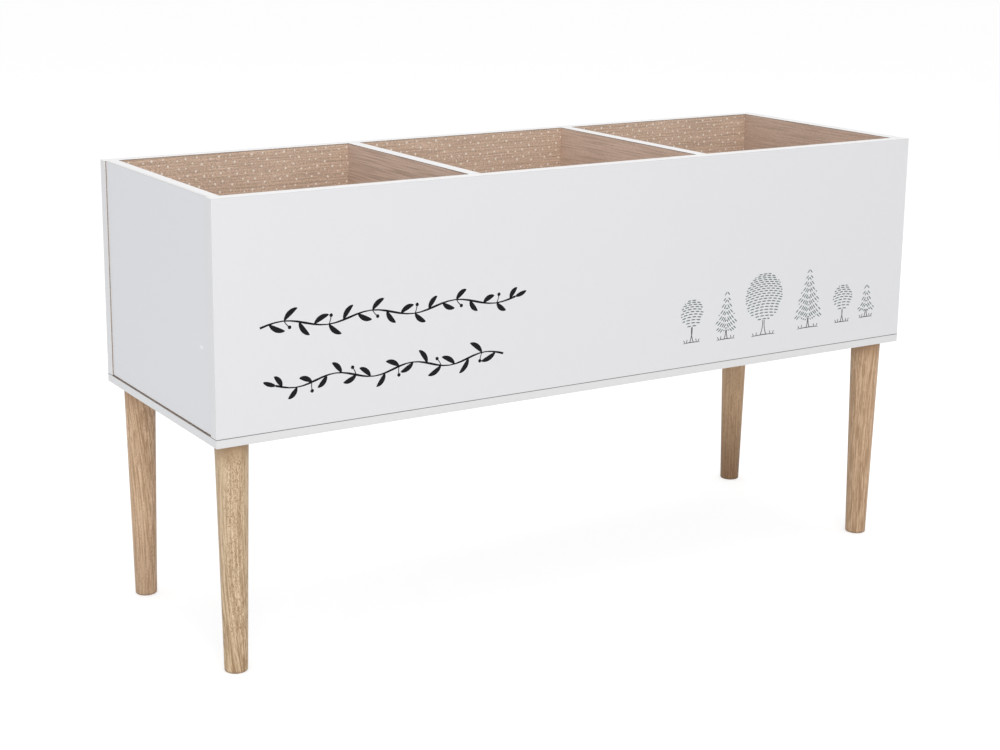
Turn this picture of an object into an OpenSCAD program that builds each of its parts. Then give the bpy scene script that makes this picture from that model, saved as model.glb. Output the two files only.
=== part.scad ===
// Bookcase for children: an open-topped box with three bays for books, on four turned legs.
// The box is made of flat boards with edging strips. Cams and dowels join its corners, dowels
// hold its dividers, and screws through the base hold the walls down.
// Millimetres, +Z up. The front faces -Y, and left and right are as seen from the front.
// The origin is on the floor, under the middle of the box.

/* [Box] */
// Length of the box
box_l = 1000; // [900:10:1200]
// Depth of the box, front to back
box_d = 330; // [280:5:420]
// Height of the walls above the base
wall_h = 266; // [240:2:320]
// Thickness of the walls and dividers
wall_t = 15; // [15:1:18]
// Thickness of the base
base_t = 10; // [9:1:18]
// How far each side wall stands in from the ends of the box
side_inset = 1.6; // [0:0.2:3]
// Gap under each side wall, which hangs between the front and back walls
side_foot_gap = 0.8; // [0:0.1:1.5]
// Clear width of the left bay
left_bay = 312.5; // [250:0.5:330]
// Clear width of the middle bay
middle_bay = 315; // [250:0.5:330]

/* [Edges] */
// Thickness of the edging strips
edging_t = 0.5; // [0.5:0.1:1]
// Radius along the edges of the boards
arris_r = 0.4; // [0.2:0.1:0.4]

/* [Legs] */
// Height of the legs
leg_h = 274; // [200:2:320]
// Diameter of a leg where it meets the base
leg_top_d = 38.5; // [34:0.5:44]
// Diameter of a leg at the floor
leg_foot_d = 27; // [20:0.5:32]
// Radius round the foot of a leg
foot_r = 2; // [0.5:0.5:4]
// Distance from an end of the box to the axis of a leg
leg_end_gap = 30; // [26:1:60]
// Distance from the front or back of the box to the axis of a leg
leg_face_gap = 28; // [26:1:60]

/* [Corner fittings] */
// Diameter of a cam
cam_d = 14.8; // [14.4:0.1:15.2]
// Distance from the end of a side wall to the axis of a cam
cam_setback = 20; // [18:1:34]
// Height of the lower cams above the base, and of the upper cams below the rim
cam_rise = 97; // [60:1:105]
// Diameter of the thread of a cam bolt
cam_thread_d = 5.8; // [5:0.2:6]
// Depth of that thread in the front or back wall
cam_thread_l = 11; // [8:0.5:12]

/* [Dowels] */
// Diameter of a dowel
dowel_d = 8; // [6:1:10]
// Length of a dowel
dowel_l = 30; // [25:1:35]
// Depth of a dowel in the front or back wall
dowel_seat = 11.5; // [9:0.5:12]
// Height of the lower dowels above the base, and of the upper dowels below the rim
dowel_rise = 33; // [32:1:45]

/* [Base screws] */
// Diameter of a screw
screw_d = 4; // [3.5:0.5:5]
// Length of a screw
screw_l = 35; // [30:1:36]
// Number of screws in the row under the front wall, and under the back wall
row_screws = 4; // [3:1:6]
// Distance from an end of the box to the first screw of a row
row_end_gap = 70; // [60:5:120]
// Distance between the two screws under a side wall or divider
cross_screw_gap = 170; // [120:5:190]

/* [Leg fixings] */
// Diameter of a hanger bolt
bolt_d = 8; // [6:1:10]
// Length of a hanger bolt
bolt_l = 50; // [40:1:60]
// Diameter of the flange of a tee nut
flange_d = 22; // [20:1:26]
// Thickness of the flange of a tee nut
flange_t = 1.5; // [1:0.1:2]

/* [Hidden] */

$fn = 64;

LEFT = -1;
RIGHT = 1;
FRONT = -1;
REAR = 1;

white = "whitesmoke";
white_edging = "white";
oak_foil = "tan";
solid_oak = "burlywood";
beech = "wheat";
zinc = "silver";
steel = "lightsteelblue";

// Levels and planes of the box
base_top = leg_h + base_t;
rim = base_top + wall_h;
end_x = box_l / 2;
face_y = box_d / 2;
inner_y = face_y - wall_t;
side_outer_x = end_x - side_inset;
side_inner_x = side_outer_x - wall_t;
side_mid_x = side_outer_x - wall_t / 2;
side_foot = base_top + side_foot_gap;
left_divider_x = -side_inner_x + left_bay;
right_divider_x = left_divider_x + wall_t + middle_bay;
divider_mid_x = [left_divider_x + wall_t / 2, right_divider_x + wall_t / 2];

// Each board is the pair of its lowest and highest corners
front_board = [[-end_x, -face_y, base_top], [end_x, -inner_y, rim]];
back_board = [[-end_x, inner_y, base_top], [end_x, face_y, rim]];
left_board = [[-side_outer_x, -inner_y, side_foot], [-side_inner_x, inner_y, rim]];
right_board = [[side_inner_x, -inner_y, side_foot], [side_outer_x, inner_y, rim]];
left_divider_board = [[left_divider_x, -inner_y, base_top], [left_divider_x + wall_t, inner_y, rim]];
right_divider_board = [[right_divider_x, -inner_y, base_top], [right_divider_x + wall_t, inner_y, rim]];
base_board = [[-end_x, -face_y, leg_h], [end_x, face_y, base_top]];

// The sides of a board that carry edging: its low X, Y and Z sides, then its high ones
top_edge = [[false, false, false], [false, false, true]];
top_and_ends = [[true, false, false], [true, false, true]];
all_round = [[true, true, false], [true, true, false]];

// Radial clearance of each fastener in its bore, and the room left at the end of a blind bore
bore_fit = 0.05;
bore_room = 0.5;

// Heights of the corner and divider fittings
cam_levels = [base_top + cam_rise, rim - cam_rise];
dowel_levels = [base_top + dowel_rise, rim - dowel_rise];

// Cam: a chamber for the bolt's head lies off its axis, so that a turn draws the bolt in
cam_bolt_depth = wall_t / 2;
cam_throw = 0.6;
cam_chamber_d = 10.8;
cam_bottom_t = 1;
cam_head_room = 7;
cam_neck_room = 4.4;
cam_slot_start = -30;
cam_slot_turn = 240;
cam_h = cam_bolt_depth + cam_head_room / 2 + cam_bottom_t;
cam_bore_fit = 0.1;
cam_recess_l = 6.4;
cam_recess_w = 1.3;
cam_recess_depth = 2.2;
cam_pointer_l = 2;
cam_pointer_depth = 0.4;

// Cam bolt, measured from the inner face of the front or back wall
cam_collar_d = 7.8;
cam_collar_l = 2.5;
cam_shank_d = 6;
cam_neck_d = 4;
cam_head_d = 6.6;
cam_head_l = 2.4;
cam_head_back = 3.6;
cam_bolt_bevel = 0.5;
cam_shank_end = cam_setback - cam_d / 2 - 0.4;
cam_neck_end = cam_setback - cam_head_back;
cam_bolt_end = cam_neck_end + cam_head_l;

dowel_bevel = 1;

// Screw under the base
screw_head_d = 2 * screw_d;
screw_head_h = (screw_head_d - screw_d) / 2;
screw_point_l = 6;
screw_recess_l = screw_head_d * 0.55;
screw_recess_w = 1;
screw_recess_depth = 1.8;
cross_screw_y = cross_screw_gap / 2;
row_screw_x = [for (i = [0 : row_screws - 1])
    -end_x + row_end_gap + i * (box_l - 2 * row_end_gap) / (row_screws - 1)];

// Tee nut and hanger bolt
barrel_d = bolt_d + 2;
barrel_end_gap = 1;
prong_w = 3.2;
prong_l = 6;
prong_t = 1.2;
prong_ring_r = (flange_d + barrel_d) / 4 + 0.6;
bolt_top_gap = 0.5;
bolt_up = base_t - bolt_top_gap;
bolt_down = bolt_l - bolt_up;
bolt_bevel = 0.8;
bolt_point_l = 7;
bolt_groove = [1, 4];
bolt_groove_depth = 0.6;

leg_top_bevel = 0.5;

// A cube between two corners
module between(low, high) {
    translate(low) cube(high - low);
}

// A rectangle from the origin with its corners rounded
module round_rect(size, r) {
    for (x = [r, size.x - r], y = [r, size.y - r])
        translate([x, y]) circle(r, $fn = 24);
    translate([r, 0]) square([size.x - 2 * r, size.y]);
    translate([0, r]) square([size.x, size.y - 2 * r]);
}

// A whole board, with all its edges softened
module blank(board) {
    size = board[1] - board[0];
    translate(board[0]) intersection() {
        linear_extrude(size.z) round_rect([size.x, size.y], arris_r);
        translate([0, size.y, 0]) rotate([90, 0, 0])
            linear_extrude(size.y) round_rect([size.x, size.z], arris_r);
        rotate([90, 0, 90])
            linear_extrude(size.x) round_rect([size.y, size.z], arris_r);
    }
}

// The room inside the edging of a board. On a side with no edging it runs past the board
module inside_edging(board, edged) {
    past = 1;
    between(
        board[0] + [for (side = edged[0]) side ? edging_t : -past],
        board[1] - [for (side = edged[1]) side ? edging_t : -past]
    );
}

module core(board, edged) {
    intersection() {
        blank(board);
        inside_edging(board, edged);
    }
}

module edging(board, edged) {
    color(white_edging) difference() {
        blank(board);
        inside_edging(board, edged);
    }
}

// Moves a piece to each leg's axis, at the top of the leg
module at_leg(side, end) {
    translate([side * (end_x - leg_end_gap), end * (face_y - leg_face_gap), leg_h]) children();
}

// Moves fittings to a wall's joint plane, with +Z along the wall that is held
module at_joint(x, end, level) {
    translate([x, end * inner_y, level]) rotate([end * 90, 0, 0]) children();
}

// Moves a cam to the inner face of a side wall, with +X of the cam towards its bolt
module at_cam(side, end, level) {
    translate([side * side_inner_x, end * (inner_y - cam_setback), level])
        rotate([0, -side * 90, 0]) rotate([0, 0, end * 90]) children();
}

// Moves screws to the underside of the base, under the front or back wall
module under_row(end) {
    for (x = row_screw_x) translate([x, end * (face_y - wall_t / 2), leg_h]) children();
}

// Moves screws to the two places under a side wall or divider
module under_cross(x) {
    for (y = [-cross_screw_y, cross_screw_y]) translate([x, y, leg_h]) children();
}

// Fittings, each in its own frame

module cam() {
    difference() {
        translate([0, 0, -cam_h]) cylinder(d = cam_d, h = cam_h);
        translate([-cam_throw, 0, -cam_bolt_depth - cam_head_room / 2])
            cylinder(d = cam_chamber_d, h = cam_head_room);
        translate([0, 0, -cam_bolt_depth - cam_neck_room / 2]) rotate([0, 0, cam_slot_start])
            rotate_extrude(angle = cam_slot_turn)
                translate([cam_d / 4, 0]) square([cam_d / 2, cam_neck_room]);
        translate([0, 0, -cam_bolt_depth]) rotate([0, -90, 0]) cylinder(d = cam_head_room, h = cam_d);
        for (turn = [45, 135]) rotate([0, 0, turn])
            translate([-cam_recess_l / 2, -cam_recess_w / 2, -cam_recess_depth])
                cube([cam_recess_l, cam_recess_w, cam_recess_depth + 1]);
        translate([cam_d / 2 - cam_pointer_l - 0.6, 0, -cam_pointer_depth]) linear_extrude(1)
            polygon([[0, -cam_pointer_l / 2], [cam_pointer_l, 0], [0, cam_pointer_l / 2]]);
    }
}

module cam_bolt() {
    thread_r = cam_thread_d / 2;
    rotate_extrude() polygon([
        [0, -cam_thread_l], [thread_r / 2, -cam_thread_l], [thread_r, -cam_thread_l + thread_r / 2],
        [thread_r, 0], [cam_collar_d / 2, 0], [cam_collar_d / 2, cam_collar_l],
        [cam_shank_d / 2, cam_collar_l], [cam_shank_d / 2, cam_shank_end],
        [cam_neck_d / 2, cam_shank_end], [cam_neck_d / 2, cam_neck_end],
        [cam_head_d / 2, cam_neck_end], [cam_head_d / 2, cam_bolt_end - cam_bolt_bevel],
        [cam_head_d / 2 - cam_bolt_bevel, cam_bolt_end], [0, cam_bolt_end],
    ]);
}

module dowel() {
    r = dowel_d / 2;
    rotate_extrude() polygon([
        [0, -dowel_seat], [r - dowel_bevel, -dowel_seat], [r, -dowel_seat + dowel_bevel],
        [r, dowel_l - dowel_seat - dowel_bevel], [r - dowel_bevel, dowel_l - dowel_seat],
        [0, dowel_l - dowel_seat],
    ]);
}

module screw() {
    r = screw_d / 2;
    difference() {
        rotate_extrude() polygon([
            [0, 0], [screw_head_d / 2, 0], [r, screw_head_h], [r, screw_l - screw_point_l],
            [0, screw_l],
        ]);
        for (turn = [0, 90]) rotate([0, 0, turn])
            translate([-screw_recess_l / 2, -screw_recess_w / 2, -1])
                cube([screw_recess_l, screw_recess_w, screw_recess_depth + 1]);
    }
}

// Pointed prongs, rooted in the middle of the flange
module prongs(grow) {
    half_w = prong_w / 2 + grow;
    half_t = prong_t / 2 + grow;
    root = flange_t / 2;
    for (turn = [45 : 90 : 315]) rotate([0, 0, turn])
        translate([prong_ring_r - half_t, 0, -flange_t]) rotate([90, 0, 90]) linear_extrude(2 * half_t)
            polygon([[-half_w, root], [-half_w, 0], [0, -prong_l - grow], [half_w, 0], [half_w, root]]);
}

module tee_nut() {
    difference() {
        union() {
            translate([0, 0, -flange_t]) cylinder(d = flange_d, h = flange_t);
            translate([0, 0, barrel_end_gap - base_t]) cylinder(d = barrel_d, h = base_t - barrel_end_gap);
            prongs(0);
        }
        translate([0, 0, -base_t]) cylinder(d = bolt_d + 2 * bore_fit, h = base_t + 1);
    }
}

module hanger_bolt() {
    r = bolt_d / 2;
    rotate_extrude() polygon([
        [0, -bolt_down], [r / 4, -bolt_down], [r, -bolt_down + bolt_point_l],
        [r, -bolt_groove[1]], [r - bolt_groove_depth, -bolt_groove[1]],
        [r - bolt_groove_depth, -bolt_groove[0]], [r, -bolt_groove[0]],
        [r, bolt_up - bolt_bevel], [r - bolt_bevel, bolt_up], [0, bolt_up],
    ]);
}

// A turned leg, from its top at z = 0 down to the floor: a plain taper that runs into the round foot
module leg() {
    top_r = leg_top_d / 2;
    foot_edge_r = leg_foot_d / 2;
    taper = atan((top_r - foot_edge_r) / leg_h);
    foot_mid = [foot_edge_r - foot_r, foot_r];
    tangent = foot_mid + foot_r * [cos(taper), -sin(taper)];
    difference() {
        translate([0, 0, -leg_h]) rotate_extrude() {
            polygon([
                [0, 0], [foot_mid.x, 0], foot_mid, tangent,
                [top_r, leg_h - leg_top_bevel], [top_r - leg_top_bevel, leg_h], [0, leg_h],
            ]);
            intersection() {
                translate(foot_mid) circle(foot_r, $fn = 48);
                translate([foot_mid.x, 0]) square(foot_r * 2);
            }
        }
        translate([0, 0, -bolt_down - bore_room])
            cylinder(d = bolt_d + 2 * bore_fit, h = bolt_down + bore_room + 1);
    }
}

// Bores, in the places of the fittings that they hold

module dowel_bore() {
    d = dowel_d + 2 * bore_fit;
    translate([0, 0, -dowel_seat - bore_room]) cylinder(d = d, h = dowel_l + 2 * bore_room);
}

module cam_thread_bore() {
    depth = cam_thread_l + bore_room;
    translate([0, 0, -depth]) cylinder(d = cam_thread_d + 2 * bore_fit, h = depth + 1);
}

module cam_shank_bore() {
    translate([0, 0, -1]) cylinder(d = cam_collar_d + 2 * bore_fit, h = cam_setback + 1);
}

module cam_bore() {
    depth = cam_h + bore_room;
    translate([0, 0, -depth]) cylinder(d = cam_d + 2 * cam_bore_fit, h = depth + 1);
}

// One cutter for the base and the wall above it
module screw_bore() {
    d = screw_d + 2 * bore_fit;
    translate([0, 0, -1]) cylinder(d = d, h = screw_l + 1 + bore_room);
    sink_r = screw_head_d / 2 + bore_fit;
    rotate_extrude() polygon([[0, -1], [sink_r, -1], [sink_r, 0], [d / 2, screw_head_h], [0, screw_head_h]]);
}

module tee_nut_bore() {
    translate([0, 0, -base_t - 1]) cylinder(d = barrel_d + 2 * bore_fit, h = base_t + 2);
    translate([0, 0, -flange_t]) cylinder(d = flange_d + 2 * bore_fit, h = flange_t + 1);
    prongs(bore_fit);
}

module side_bores(side) {
    for (end = [FRONT, REAR]) {
        for (level = cam_levels) {
            at_joint(side * side_mid_x, end, level) cam_shank_bore();
            at_cam(side, end, level) cam_bore();
        }
        for (level = dowel_levels) at_joint(side * side_mid_x, end, level) dowel_bore();
    }
    under_cross(side * side_mid_x) screw_bore();
}

module divider_bores(x) {
    for (end = [FRONT, REAR], level = dowel_levels) at_joint(x, end, level) dowel_bore();
    under_cross(x) screw_bore();
}

module long_wall_bores(end) {
    for (side = [LEFT, RIGHT]) {
        for (level = cam_levels) at_joint(side * side_mid_x, end, level) cam_thread_bore();
        for (level = dowel_levels) at_joint(side * side_mid_x, end, level) dowel_bore();
    }
    for (x = divider_mid_x, level = dowel_levels) at_joint(x, end, level) dowel_bore();
    under_row(end) screw_bore();
}

// Boards

module front_panel() {
    color(white) difference() {
        core(front_board, top_and_ends);
        long_wall_bores(FRONT);
    }
}

module back_panel() {
    color(white) difference() {
        core(back_board, top_and_ends);
        long_wall_bores(REAR);
    }
}

module left_side_panel() {
    color(white) difference() {
        core(left_board, top_edge);
        side_bores(LEFT);
    }
}

module right_side_panel() {
    color(white) difference() {
        core(right_board, top_edge);
        side_bores(RIGHT);
    }
}

module left_divider() {
    color(oak_foil) difference() {
        core(left_divider_board, top_edge);
        divider_bores(divider_mid_x[0]);
    }
}

module right_divider() {
    color(oak_foil) difference() {
        core(right_divider_board, top_edge);
        divider_bores(divider_mid_x[1]);
    }
}

module base_panel() {
    color(white) difference() {
        core(base_board, all_round);
        for (end = [FRONT, REAR]) {
            under_row(end) screw_bore();
            for (side = [LEFT, RIGHT]) at_leg(side, end) translate([0, 0, base_t]) tee_nut_bore();
        }
        for (x = [-side_mid_x, side_mid_x, divider_mid_x[0], divider_mid_x[1]]) under_cross(x) screw_bore();
    }
}

// Edging

module front_panel_edging() { edging(front_board, top_and_ends); }
module back_panel_edging() { edging(back_board, top_and_ends); }
module left_side_edging() { edging(left_board, top_edge); }
module right_side_edging() { edging(right_board, top_edge); }
module left_divider_edging() { edging(left_divider_board, top_edge); }
module right_divider_edging() { edging(right_divider_board, top_edge); }
module base_edging() { edging(base_board, all_round); }

// Legs and their fixings

module front_left_leg() { color(solid_oak) at_leg(LEFT, FRONT) leg(); }
module front_right_leg() { color(solid_oak) at_leg(RIGHT, FRONT) leg(); }
module rear_left_leg() { color(solid_oak) at_leg(LEFT, REAR) leg(); }
module rear_right_leg() { color(solid_oak) at_leg(RIGHT, REAR) leg(); }

module front_left_hanger_bolt() { color(steel) at_leg(LEFT, FRONT) hanger_bolt(); }
module front_right_hanger_bolt() { color(steel) at_leg(RIGHT, FRONT) hanger_bolt(); }
module rear_left_hanger_bolt() { color(steel) at_leg(LEFT, REAR) hanger_bolt(); }
module rear_right_hanger_bolt() { color(steel) at_leg(RIGHT, REAR) hanger_bolt(); }

module seated_tee_nut(side, end) { at_leg(side, end) translate([0, 0, base_t]) tee_nut(); }
module front_left_tee_nut() { color(steel) seated_tee_nut(LEFT, FRONT); }
module front_right_tee_nut() { color(steel) seated_tee_nut(RIGHT, FRONT); }
module rear_left_tee_nut() { color(steel) seated_tee_nut(LEFT, REAR); }
module rear_right_tee_nut() { color(steel) seated_tee_nut(RIGHT, REAR); }

// Corner and divider fittings

module cams(side) {
    for (end = [FRONT, REAR], level = cam_levels) at_cam(side, end, level) cam();
}

module cam_bolts(end) {
    for (side = [LEFT, RIGHT], level = cam_levels) at_joint(side * side_mid_x, end, level) cam_bolt();
}

module dowels(x) {
    for (end = [FRONT, REAR], level = dowel_levels) at_joint(x, end, level) dowel();
}

module left_cams() { color(zinc) cams(LEFT); }
module right_cams() { color(zinc) cams(RIGHT); }
module front_cam_bolts() { color(steel) cam_bolts(FRONT); }
module rear_cam_bolts() { color(steel) cam_bolts(REAR); }

module corner_dowels() { color(beech) for (side = [LEFT, RIGHT]) dowels(side * side_mid_x); }
module left_divider_dowels() { color(beech) dowels(divider_mid_x[0]); }
module right_divider_dowels() { color(beech) dowels(divider_mid_x[1]); }

// Screws under the base

module front_base_screws() { color(steel) under_row(FRONT) screw(); }
module rear_base_screws() { color(steel) under_row(REAR) screw(); }
module side_base_screws() { color(steel) for (side = [LEFT, RIGHT]) under_cross(side * side_mid_x) screw(); }
module divider_base_screws() { color(steel) for (x = divider_mid_x) under_cross(x) screw(); }

front_panel();
back_panel();
left_side_panel();
right_side_panel();
left_divider();
right_divider();
base_panel();
front_panel_edging();
back_panel_edging();
left_side_edging();
right_side_edging();
left_divider_edging();
right_divider_edging();
base_edging();
front_left_leg();
front_right_leg();
rear_left_leg();
rear_right_leg();
front_left_hanger_bolt();
front_right_hanger_bolt();
rear_left_hanger_bolt();
rear_right_hanger_bolt();
front_left_tee_nut();
front_right_tee_nut();
rear_left_tee_nut();
rear_right_tee_nut();
left_cams();
right_cams();
front_cam_bolts();
rear_cam_bolts();
corner_dowels();
left_divider_dowels();
right_divider_dowels();
front_base_screws();
rear_base_screws();
side_base_screws();
divider_base_screws();
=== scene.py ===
import math

import bmesh
import bpy
from mathutils import Euler, Matrix, Vector


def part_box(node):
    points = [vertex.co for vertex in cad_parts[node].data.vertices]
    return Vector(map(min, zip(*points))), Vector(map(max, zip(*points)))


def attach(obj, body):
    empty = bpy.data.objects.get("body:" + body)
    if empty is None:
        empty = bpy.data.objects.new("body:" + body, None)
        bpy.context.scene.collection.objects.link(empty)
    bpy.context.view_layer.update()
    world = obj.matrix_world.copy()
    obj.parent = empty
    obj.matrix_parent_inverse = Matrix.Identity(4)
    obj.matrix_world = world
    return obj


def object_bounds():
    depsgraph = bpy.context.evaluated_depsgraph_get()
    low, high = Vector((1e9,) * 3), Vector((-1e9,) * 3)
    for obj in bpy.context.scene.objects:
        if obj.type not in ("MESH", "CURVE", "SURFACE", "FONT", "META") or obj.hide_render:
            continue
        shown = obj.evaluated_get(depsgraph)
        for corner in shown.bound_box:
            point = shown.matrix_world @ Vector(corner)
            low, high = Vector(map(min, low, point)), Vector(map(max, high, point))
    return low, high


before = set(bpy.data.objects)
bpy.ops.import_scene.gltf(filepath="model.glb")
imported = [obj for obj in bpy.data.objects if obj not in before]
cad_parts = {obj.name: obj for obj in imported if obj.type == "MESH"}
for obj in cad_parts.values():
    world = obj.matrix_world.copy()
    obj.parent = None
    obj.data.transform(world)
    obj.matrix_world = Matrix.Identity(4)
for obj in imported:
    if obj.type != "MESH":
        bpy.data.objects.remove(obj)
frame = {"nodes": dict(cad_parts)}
CAD_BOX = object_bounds()

# Units: the frame is in metres
MM = 0.001

# Camera, as the photograph was taken: where it stands, where it looks and its lens
CAMERA_PLACE = Vector((-1.27046, -1.94821, 0.87285))
CAMERA_AZIMUTH = math.radians(30.516)
CAMERA_DIP = math.radians(12.731)
CAMERA_ROLL = math.radians(0.242)
CAMERA_LENS = 66.611
CAMERA_SENSOR = 36.0
CAMERA_SHIFT = (0.060478, -0.071032)
CAMERA_NEAR = 0.05
CAMERA_FAR = 100.0

# Light: an even pale world and three soft lamps that face one point of the object. Each lamp has
# a place, a size in metres, a power in watts and a colour
WORLD_LIGHT = 0.70
WORLD_COLOUR = (1.0, 1.0, 1.0)
LAMP_AIM = Vector((0.0, 0.0, 0.35))
LAMPS = {
    "front_left_softbox": (Vector((-1.4, -3.4, 2.0)), 2.6, 50.0, (1.0, 1.0, 1.0)),
    "overhead_softbox": (Vector((0.2, 0.2, 3.6)), 3.0, 30.0, (1.0, 1.0, 1.0)),
    "side_fill": (Vector((-3.4, -0.6, 0.6)), 2.2, 10.0, (0.72, 0.86, 1.0)),
}
FLOOR_HALF = 20.0
FLOOR_ALBEDO = 0.62
FLOOR_GLOW = 0.55

# Two kinds of value are used for all finishes. A pattern is a noise: its steps per metre along X, Y
# and Z, and then its detail, roughness and distortion. A band is how a pattern tints a colour: the values
# of the pattern at which the tint starts and is full, and the share that it then has. Every colour is
# linear

# White foil: its colour, a trace of cloud in it, and its fine skin
WHITE_FOIL = (0.812, 0.811, 0.826)
WHITE_FOIL_CLOUD = (0.70, 0.71, 0.73)
FOIL_CLOUDS = ((5.0, 5.0, 5.0), 2.0, 0.5)
FOIL_CLOUD_BAND = (0.3, 0.7, 0.035)
FOIL_SKIN = ((1400.0, 1400.0, 1400.0), 2.0, 0.5)

# White edging strip
WHITE_EDGING = (0.803, 0.796, 0.798)
EDGING_CLOUD_SHADE = (0.92, 0.92, 0.93)
EDGING_CLOUDS = ((60.0, 60.0, 60.0), 2.0)
EDGING_CLOUD_BAND = (0.3, 0.7, 0.05)
EDGING_SKIN = ((1200.0, 1200.0, 1200.0), 2.0)
EDGING_ROUGHNESS = 0.38
EDGING_RELIEF = 0.01 * MM

# Printed oak foil: winding lines, long streaks and short ticks. Its patterns have their steps per metre
# along and across the grain. The lines have a pitch, and wind by so many radians
OAK_FOIL = (0.705, 0.536, 0.415)
OAK_FOIL_DARK = (0.405, 0.297, 0.225)
OAK_FOIL_LIGHT = (0.830, 0.662, 0.543)
FOIL_PITCH = 3.8 * MM
FOIL_WINDING = 16.0
FOIL_BENDS = ((5.0, 60.0), 2.0, 0.4)
FOIL_FADES = ((12.0, 190.0), 1.0, 0.5)
FOIL_STREAKS = ((13.0, 720.0), 1.0, 0.5)
FOIL_TICKS = ((420.0, 1300.0), 1.0, 0.5)
FOIL_LINE_BAND = (-0.4, 0.95, 1.0)
FOIL_FADE_RANGE = (0.35, 0.62, 0.25, 0.60)
FOIL_STREAK_DARK = (0.52, 0.60, 0.50)
FOIL_STREAK_PALE = (0.46, 0.36, 0.45)
FOIL_TICK_DARK = (0.51, 0.60, 0.70)
FOIL_TICK_PALE = (0.48, 0.38, 0.55)

# The boards: the axis across each one, its white side, the axis of its grain, how much the lines, streaks
# and ticks of its oak side show, and the tone of that side, which is partly painted light and shade for
# how brightly that side is lit. From each board to the next the patterns are moved by so many steps
BOARDS = {
    "front_panel": (1, "low", 0, (1.0, 1.0, 1.0), (1.00, 1.00, 1.00)),
    "back_panel": (1, "high", 0, (1.0, 1.0, 1.0), (1.045, 1.045, 1.04)),
    "left_side_panel": (0, "low", 1, (0.6, 0.9, 0.4), (0.95, 0.96, 0.99)),
    "right_side_panel": (0, "high", 1, (0.5, 0.8, 0.45), (0.92, 0.91, 0.94)),
    "left_divider": (0, None, 1, (0.5, 1.15, 0.4), (1.00, 1.01, 1.06)),
    "right_divider": (0, None, 1, (0.6, 0.8, 0.4), (1.02, 1.02, 1.06)),
    "base_panel": (2, "low", 0, (1.0, 1.0, 1.0), (1.00, 1.00, 1.00)),
}
BOARD_SHIFT = (7.3, 3.1, 5.7)
UP_AXIS = 2
BOARD_ROUGHNESS = 0.46
BOARD_RELIEF = 0.05 * MM
PORE_HEIGHT = -0.6
SKIN_HEIGHT = 0.12

# The chipboard core, which shows under the foil in bores and cuts
CORE_DARK = (0.230, 0.140, 0.080)
CORE_LIGHT = (0.520, 0.380, 0.250)
CORE_CHIPS = (260.0, 260.0, 600.0)
FOIL_DEPTH = 0.45 * MM

# The dots of the back board's oak side. A tile of them repeats from the board's upper left corner. Sizes
# are in millimetres here, and so is each dot's place in the tile
DOT_WHITE = (0.930, 0.860, 0.780)
DOT_CORNER = (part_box("back_panel_edging")[0].x / MM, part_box("back_panel_edging")[1].z / MM)
TILE = 44.5
LARGE_DOT = 1.45
SMALL_DOT = 1.10
DOT_EDGE = 0.35
LARGE_DOTS = ((15, 5), (36, 13), (28, 21), (17, 26), (39, 28), (19, 36), (9, 39), (32, 41))
SMALL_DOTS = ((30, 4), (4, 7), (24, 11), (6, 17), (15, 17), (6, 28), (28, 31), (2, 35))

# The joint of walls and base: a dark line, partly the raw lower edge of the walls and the joint itself
# and partly painted shade; and painted shade in the narrow grooves outside the side walls
JOINT_DARK_AND_SHADE = (0.050, 0.036, 0.030)
BASE_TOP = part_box("base_panel")[1].z
SIDE_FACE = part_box("right_side_panel")[1].x
RAW_EDGE = 0.42 * MM
RAW_EDGE_AND_SHADE_SHARE = 0.85
GROOVE_SHADE_SHARE = 0.50
LINE_EDGE = 0.10 * MM

# The seam between a wall's face and the edging strip on its rim, on its oak side and on its white one
SEAM = 0.60 * MM
OAK_SEAM_SHARE = 0.80
WHITE_SEAM_SHARE = 0.10

# Painted shade on the outer arris of a side wall's edging, which turns away from the light: its width and
# how dark it is
ARRIS = 3.0 * MM
ARRIS_EDGE = 0.5 * MM
ARRIS_SHADE_SHARE = 0.14

# A dent that presses up from inside the left side wall: where it is, half its length and height, the
# share of these at which its slope ends, and how far it rises, in heights of the foil's skin
DENT_PLACE = (0.0, -0.127, 0.380)
DENT_HALF = (5.5 * MM, 2.8 * MM)
DENT_TOP = 0.3
DENT_RISE = 40.0
# The dent's lighter colour: a painted highlight where it rises into the light
DENT_HIGHLIGHT = (0.97, 0.97, 0.97)

# The legs: each one's tone at the top and how much of it is left at the foot, a painted shade, where its
# pith lay (in metres from its axis), how far its grain leans with the height and with its square, how
# flecked it is, how strong its grain is at the top and at the foot, how many steps a metre its pores have
# along it, and its seed. Its patterns are moved by the seed times the shift. The rear right leg's darker
# tone and deep foot shade are partly painted shade
LEG_OAK = {
    "front_left_leg": dict(
        tone=(0.720, 0.537, 0.350), foot=(0.94, 0.92, 0.88), pith=(0.067, -0.020),
        lean=(40 * MM, -28 * MM), flecks=1.0, strength=(0.80, 1.52), pores=150.0, seed=3.0,
    ),
    "rear_left_leg": dict(
        tone=(0.738, 0.507, 0.325), foot=(0.86, 0.86, 0.87), pith=(0.020, -0.080),
        lean=(0.0, 17 * MM), flecks=0.0, strength=(1.30, 0.80), pores=380.0, seed=11.0,
    ),
    "front_right_leg": dict(
        tone=(0.665, 0.452, 0.284), foot=(0.93, 0.92, 0.91), pith=(-0.060, -0.050),
        lean=(0.0, -7 * MM), flecks=0.0, strength=(1.02, 1.02), pores=100.0, seed=23.0,
    ),
    "rear_right_leg": dict(
        tone=(0.612, 0.410, 0.245), foot=(0.45, 0.39, 0.33), pith=(0.075, -0.020),
        lean=(0.0, 2 * MM), flecks=0.0, strength=(0.60, 0.60), pores=200.0, seed=37.0,
    ),
}
LEG_SHIFT = (1.0, 2.0, 0.5)
LEG_ROUGHNESS = 0.55
LEG_RELIEF = 0.08 * MM

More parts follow.
